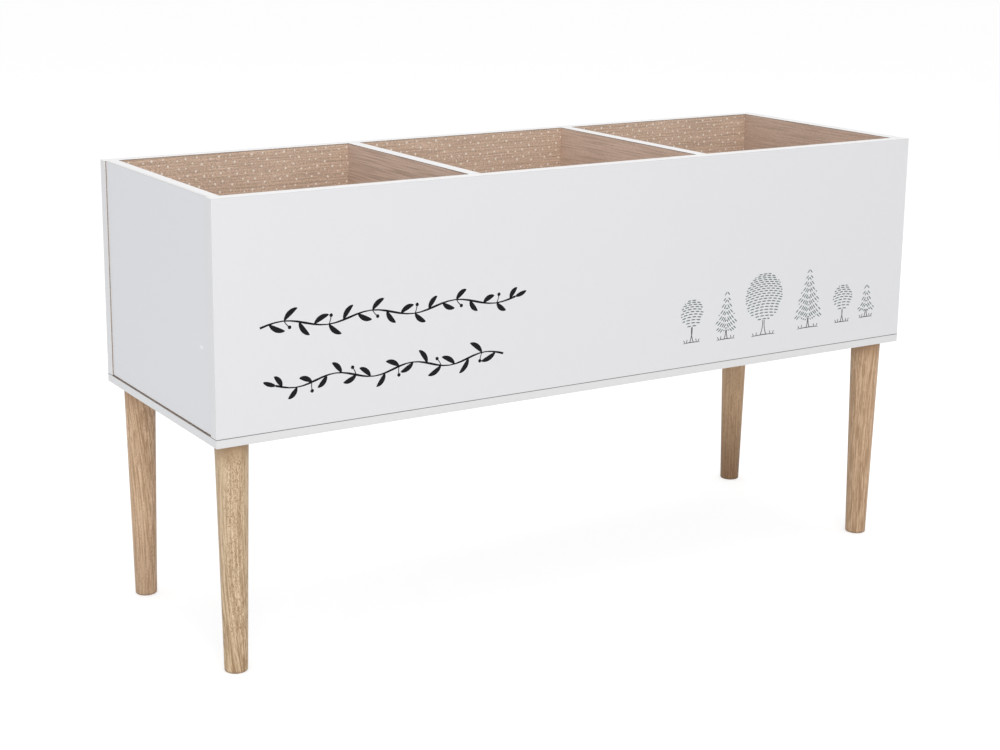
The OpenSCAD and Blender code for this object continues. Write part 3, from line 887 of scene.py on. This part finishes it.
def garland(ink, start, length, way, waves, leaves):
    """A leafy branch drawn as with a brush."""
    stem = waving_stem(start, length, way, waves)
    steps = len(stem) - 1
    knots = [math.cos(math.pi * step / STEM_KNOT_STEPS) ** 2 for step in range(steps + 1)]
    ink.stroke(stem, [STEM_WIDTH + STEM_KNOT * knot for knot in knots])
    for number in range(leaves):
        spot = (number + LEAF_START) / leaves * steps
        low = int(spot)
        here = stem[low].lerp(stem[min(low + 1, steps)], spot - low)
        ahead = stem[min(low + 1, steps)] - stem[max(low - 1, 0)]
        heading = math.degrees(math.atan2(ahead.y, ahead.x))
        side = way if number % 2 else -way
        reach = LEAF_LENGTH - LEAF_LENGTH_LOSS * number / leaves
        leaf = swept(here, heading + side * LEAF_ANGLE, reach, -side * LEAF_BEND, steps=12)
        ink.stroke(leaf, swell(leaf, LEAF_WIDTH, LEAF_END))
        if number % BERRY_EVERY == 1:
            berry(ink, here, heading - side * LEAF_ANGLE)
    tip = swept(stem[-1], heading, TIP_LENGTH, TIP_BEND * way, steps=10)
    ink.stroke(tip, swell(tip, TIP_WIDTH, TIP_END))


def hatch_line(ink, start, heading, length, bend, row):
    """A row of short dashes along one curved line. The row's number staggers its dashes."""
    run = -HATCH_PITCH * (row * HATCH_STAGGER % 1.0)
    while run < length:
        begin = max(run, 0.0)
        dash = min(run + HATCH_DASH, length) - begin
        if dash > HATCH_LEAST:
            turn = bend * begin / length
            lead = swept(start, heading, begin, turn, steps=4)[-1]
            path = swept(lead, heading + turn, dash, bend * dash / length, steps=5)
            ink.stroke(path, swell(path, HATCH_WIDTH, HATCH_END))
        run += HATCH_PITCH


def round_crown(ink, centre, radius):
    """A round crown, drawn in bowed rows of dashes."""
    rows = round(2 * radius / HATCH_ROWS)
    for row in range(rows):
        height = -radius + (row + 0.5) * 2 * radius / rows
        half = math.sqrt(radius ** 2 - height ** 2)
        bow = ROUND_BOW * half / radius
        hatch_line(ink, (centre[0] - half, centre[1] + height), bow / 2, 2 * half, -bow, row)


def fir_crown(ink, centre, low, high, half_width):
    """A fir's crown: sloping rows of dashes from its axis to its outline, which steps in at each tier."""
    pitch = math.tan(math.radians(FIR_SLOPE))
    slant = math.cos(math.radians(FIR_SLOPE))
    pace = HATCH_ROWS / slant
    rows = int((high - low) / pace)
    for row in range(rows):
        drop = row * pace
        tier_share = ((row - 1) % FIR_TIER + 1) / FIR_TIER
        reach = half_width * (drop + pace) / (high - low - half_width * pitch)
        reach = min(reach, (high - low - drop) / pitch) * (1.0 - FIR_NOTCH * (1.0 - tier_share))
        for side in (-1, 1):
            heading = 90.0 - side * (90.0 + FIR_SLOPE + FIR_BOW / 2)
            start = (centre + side * FIR_SPINE_HALF, high - drop)
            hatch_line(ink, start, heading, reach / slant, side * FIR_BOW, row)


def trunk(ink, centre, ground, top, half_width):
    """Two trunk lines that flare at the ground."""
    for side in (-1, 1):
        root = (centre + side * half_width * TRUNK_FLARE, ground)
        line = swept(root, 90.0 + side * TRUNK_SPLAY, top - ground, -side * TRUNK_BEND, steps=8)
        ink.stroke(line, [OUTLINE_WIDTH] * len(line))


def grass(ink, centre, ground, half_width):
    """A short line of ground with a few blades of grass."""
    soil_start = (centre - half_width, ground - SOIL_SINK)
    soil = swept(soil_start, SOIL_TILT, 2 * half_width, -2 * SOIL_TILT, steps=10)
    ink.stroke(soil, swell(soil, OUTLINE_WIDTH, OUTLINE_END))
    for spot, lean in GRASS_BLADES:
        blade = swept(soil[spot], 90.0 + lean, GRASS_HEIGHT, lean, steps=5)
        ink.stroke(blade, swell(blade, OUTLINE_WIDTH, OUTLINE_END))


def make_branches():
    """Two leafy branches on the left of the front board."""
    black = Ink("branch_print", INK_BLACK)
    for branch in BRANCHES:
        garland(black, *branch)
    black.finish()


def make_wood():
    """A little wood on the right of the front board."""
    outline = Ink("tree_line_print", INK_LINE)
    hatch = Ink("tree_hatch_print", INK_GREY)
    for centre, ground, middle, radius, half in ROUND_TREES:
        round_crown(hatch, (centre, middle), radius)
        trunk(outline, centre, ground, middle - radius + ROUND_TRUNK_TOP, half)
        grass(outline, centre, ground, ROUND_SOIL[0] * radius + ROUND_SOIL[1])
    for centre, ground, foot, top, half in FIR_TREES:
        fir_crown(hatch, centre, foot, top, half)
        trunk(outline, centre, ground, foot + FIR_TRUNK_TOP, FIR_TRUNK_HALF)
        grass(outline, centre, ground, FIR_SOIL[0] * half + FIR_SOIL[1])
    outline.finish()
    hatch.finish()


def camera_ray_share(nodes, links):
    """An output that is one for rays that show a surface straight, by gloss or through glass."""
    path = nodes.new("ShaderNodeLightPath")
    total = path.outputs["Is Camera Ray"]
    for name in ("Is Glossy Ray", "Is Transmission Ray"):
        add = nodes.new("ShaderNodeMath")
        add.operation = "ADD"
        add.use_clamp = True
        links.new(total, add.inputs[0])
        links.new(path.outputs[name], add.inputs[1])
        total = add.outputs[0]
    return total


def make_world():
    """An even world that lights the object, and shows white to the camera."""
    world = bpy.data.worlds.new("studio")
    bpy.context.scene.world = world
    world.use_nodes = True
    nodes, links = world.node_tree.nodes, world.node_tree.links
    nodes.clear()
    level = nodes.new("ShaderNodeMapRange")
    links.new(camera_ray_share(nodes, links), level.inputs["Value"])
    level.inputs["To Min"].default_value = WORLD_LIGHT
    level.inputs["To Max"].default_value = 1.0
    background = nodes.new("ShaderNodeBackground")
    background.inputs["Color"].default_value = (*WORLD_COLOUR, 1.0)
    links.new(level.outputs[0], background.inputs["Strength"])
    links.new(background.outputs[0], nodes.new("ShaderNodeOutputWorld").inputs[0])


def make_floor():
    """A pale floor that takes the object's shadow and glows for the camera alone."""
    bpy.ops.mesh.primitive_plane_add(size=2 * FLOOR_HALF, location=(0.0, 0.0, CAD_BOX[0].z))
    floor = bpy.context.object
    floor.name = "studio_floor"
    material = bpy.data.materials.new("floor_paper")
    material.use_nodes = True
    nodes, links = material.node_tree.nodes, material.node_tree.links
    nodes.clear()
    diffuse = nodes.new("ShaderNodeBsdfDiffuse")
    diffuse.inputs["Color"].default_value = (FLOOR_ALBEDO, FLOOR_ALBEDO, FLOOR_ALBEDO, 1.0)
    glow = nodes.new("ShaderNodeEmission")
    level = nodes.new("ShaderNodeMapRange")
    links.new(camera_ray_share(nodes, links), level.inputs["Value"])
    level.inputs["To Max"].default_value = FLOOR_GLOW
    links.new(level.outputs[0], glow.inputs["Strength"])
    both = nodes.new("ShaderNodeAddShader")
    links.new(diffuse.outputs[0], both.inputs[0])
    links.new(glow.outputs[0], both.inputs[1])
    links.new(both.outputs[0], nodes.new("ShaderNodeOutputMaterial").inputs["Surface"])
    floor.data.materials.append(material)


def make_lamp(name, place, size, power, colour):
    """A round soft lamp that faces the object."""
    light = bpy.data.lights.new(name, "AREA")
    light.shape = "DISK"
    light.size = size
    light.energy = power
    light.color = colour
    lamp = bpy.data.objects.new(name, light)
    lamp.location = place
    lamp.rotation_euler = (LAMP_AIM - place).to_track_quat("-Z", "Y").to_euler()
    bpy.context.scene.collection.objects.link(lamp)


def make_camera():
    """The camera that took the photograph."""
    lens = bpy.data.cameras.new("photo_camera")
    lens.sensor_fit = "HORIZONTAL"
    lens.sensor_width = CAMERA_SENSOR
    lens.lens = CAMERA_LENS
    lens.shift_x, lens.shift_y = CAMERA_SHIFT
    lens.clip_start = CAMERA_NEAR
    lens.clip_end = CAMERA_FAR
    camera = bpy.data.objects.new("photo_camera", lens)
    turn = Euler((math.pi / 2 - CAMERA_DIP, 0.0, -CAMERA_AZIMUTH)).to_matrix()
    turn = turn @ Matrix.Rotation(CAMERA_ROLL, 3, "Z")
    camera.matrix_world = Matrix.Translation(CAMERA_PLACE) @ turn.to_4x4()
    bpy.context.scene.collection.objects.link(camera)
    bpy.context.scene.camera = camera


bpy.context.scene.view_settings.view_transform = "Standard"
make_camera()
make_world()
make_floor()
for lamp_name, lamp_values in LAMPS.items():
    make_lamp(lamp_name, *lamp_values)
dress_boards()
dress_hardware()
dress_legs()
make_branches()
make_wood()
